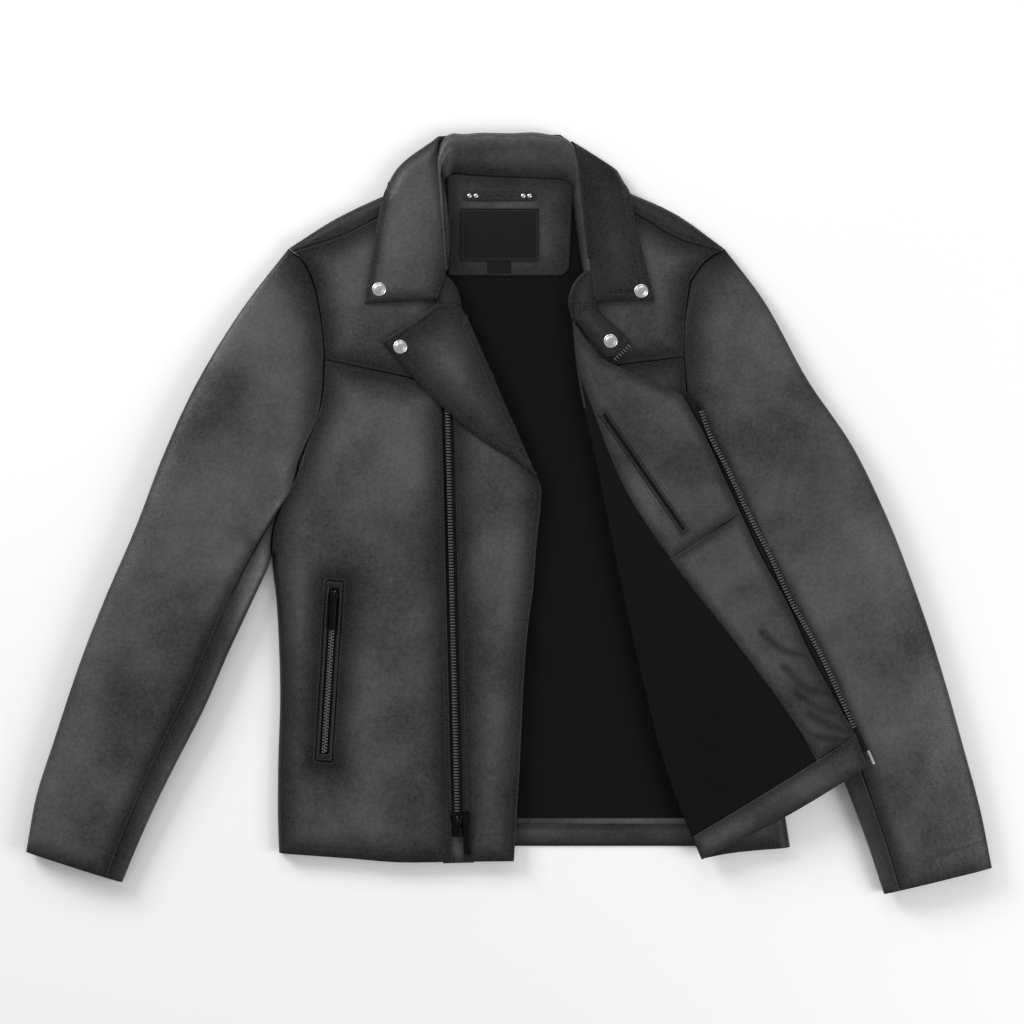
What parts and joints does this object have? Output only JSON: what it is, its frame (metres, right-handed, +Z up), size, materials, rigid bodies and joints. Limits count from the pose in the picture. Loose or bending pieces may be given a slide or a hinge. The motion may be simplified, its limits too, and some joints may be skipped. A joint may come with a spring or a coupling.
{
  "type": "leather jacket",
  "caption": "Black leather jacket laid flat on its back, asymmetric metal zip, snap lapels, one front turned open to show the lining.",
  "frame": {"origin": "on the table, at the middle of the footprint", "axes": "+Z up from the table, +Y towards the collar, +X towards the wearer's left sleeve"},
  "size_m": [0.934, 0.7352, 0.0351],
  "materials": {
    "leather": "black shell leather, softly burnished, fine grain",
    "inside_leather": "black facing leather",
    "lining": "matt black woven lining",
    "zip_tape": "black herringbone tape",
    "gunmetal": "dark gunmetal plating",
    "silver_metal": "satin nickel"
  },
  "bodies": {
    "root": {"back_panel": "leather", "back_yoke": "leather", "back_lining": "lining", "back_hem_facing": "inside_leather", "neck_facing": "inside_leather", "label_patch": "inside_leather", "size_tab": "lining", "hanger_loop": "inside_leather", "collar_stand": "leather", "collar_fall": "leather", "right_front_yoke_side": "leather", "right_front_side": "leather", "right_pocket_welt": "leather", "right_pocket_chain": "gunmetal", "right_pocket_bag": "lining", "left_front_yoke": "leather", "left_front_side": "leather", "left_pocket_welt": "leather", "left_pocket_chain": "gunmetal", "left_pocket_bag": "lining", "snap_stud_collar_right": "silver_metal", "snap_stud_collar_left": "silver_metal"},
    "right_front": {"right_front_yoke_edge": "leather", "right_front_middle": "leather", "right_front_overlap": "leather", "right_front_lining": "lining", "right_front_facing": "inside_leather", "main_zip_tape_right": "zip_tape", "main_zip_chain_right": "gunmetal", "main_zip_box": "gunmetal", "snap_stud_lapel_right": "silver_metal"},
    "main_slider": {"main_slider": "gunmetal"},
    "main_pull": {"main_pull": "gunmetal"},
    "right_pocket_slider": {"right_pocket_slider": "gunmetal"},
    "right_pocket_pull": {"right_pocket_pull": "gunmetal"},
    "left_pocket_slider": {"left_pocket_slider": "gunmetal"},
    "right_lapel": {"right_lapel": "leather", "snap_cap_lapel_right": "silver_metal"},
    "right_collar": {"collar_leaf_right": "leather", "snap_cap_collar_right": "silver_metal"},
    "left_collar": {"collar_leaf_left": "leather", "snap_cap_collar_left": "silver_metal"},
    "left_front": {"left_front_outer": "leather", "left_facing_upper": "inside_leather", "left_facing_lower": "inside_leather", "left_hem_facing": "inside_leather", "left_front_lining": "lining", "inner_pocket_welt": "inside_leather", "inner_pocket_bag": "lining", "main_zip_tape_left": "zip_tape", "main_zip_chain_left": "gunmetal", "insertion_pin": "silver_metal"},
    "left_lapel": {"left_lapel": "leather", "snap_cap_lapel_left": "silver_metal"},
    "right_sleeve": {"right_sleeve_upper": "leather", "right_sleeve_under": "leather", "right_sleeve_lining": "lining"},
    "left_sleeve": {"left_sleeve_upper": "leather", "left_sleeve_under": "leather", "left_sleeve_lining": "lining"}
  },
  "joints": [
    {"name": "right_front_open", "type": "hinge", "parent": "root", "child": "right_front", "pos_m": [-0.129, 0.203, 0.0131], "axis": [-0.0431, -0.9991, 0], "range_deg": [0, 120]},
    {"name": "left_front_close", "type": "hinge", "parent": "root", "child": "left_front", "pos_m": [0.0564, 0.1833, 0.0134], "axis": [-0.208, 0.9781, 0], "range_deg": [-165, 0]},
    {"name": "right_lapel_turn", "type": "hinge", "parent": "right_front", "child": "right_lapel", "pos_m": [-0.0456, 0.203, 0.0161], "axis": [-0.3997, 0.9166, 0], "range_deg": [0, 150]},
    {"name": "left_lapel_turn", "type": "hinge", "parent": "left_front", "child": "left_lapel", "pos_m": [0.06234, 0.18735, 0.01662], "axis": [0.6334, -0.7727, 0.0418], "range_deg": [0, 90]},
    {"name": "right_collar_turn", "type": "hinge", "parent": "root", "child": "right_collar", "pos_m": [-0.0604, 0.2357, 0.0161], "axis": [-0.063, 0.998, 0], "range_deg": [0, 110]},
    {"name": "left_collar_turn", "type": "hinge", "parent": "root", "child": "left_collar", "pos_m": [0.078, 0.235, 0.0161], "axis": [0.114, -0.9935, 0], "range_deg": [0, 110]},
    {"name": "right_sleeve_swing", "type": "hinge", "parent": "root", "child": "right_sleeve", "pos_m": [-0.213, 0.257, 0.0067], "axis": [0, 0, -1], "range_deg": [0, 40]},
    {"name": "left_sleeve_swing", "type": "hinge", "parent": "root", "child": "left_sleeve", "pos_m": [0.208, 0.257, 0.0067], "axis": [0, 0, 1], "range_deg": [0, 40]},
    {"name": "main_slider_slide", "type": "slide", "parent": "right_front", "child": "main_slider", "axis": [-0.0241, 0.9997, 0], "range_m": [0, 0.365]},
    {"name": "main_pull_swing", "type": "hinge", "parent": "main_slider", "child": "main_pull", "pos_m": [-0.0456, -0.28881, 0.0182], "axis": [-1, 0, 0], "range_deg": [0, 170]},
    {"name": "right_pocket_slide", "type": "slide", "parent": "root", "child": "right_pocket_slider", "axis": [-0.0624, -0.9981, 0], "range_m": [0, 0.13]},
    {"name": "right_pocket_pull_swing", "type": "hinge", "parent": "right_pocket_slider", "child": "right_pocket_pull", "pos_m": [-0.16917, -0.07799, 0.0177], "axis": [-0.9981, 0.0624, 0], "range_deg": [0, 150]},
    {"name": "left_pocket_slide", "type": "slide", "parent": "root", "child": "left_pocket_slider", "axis": [0.0624, -0.9981, 0], "range_m": [0, 0.13]}
  ]
}
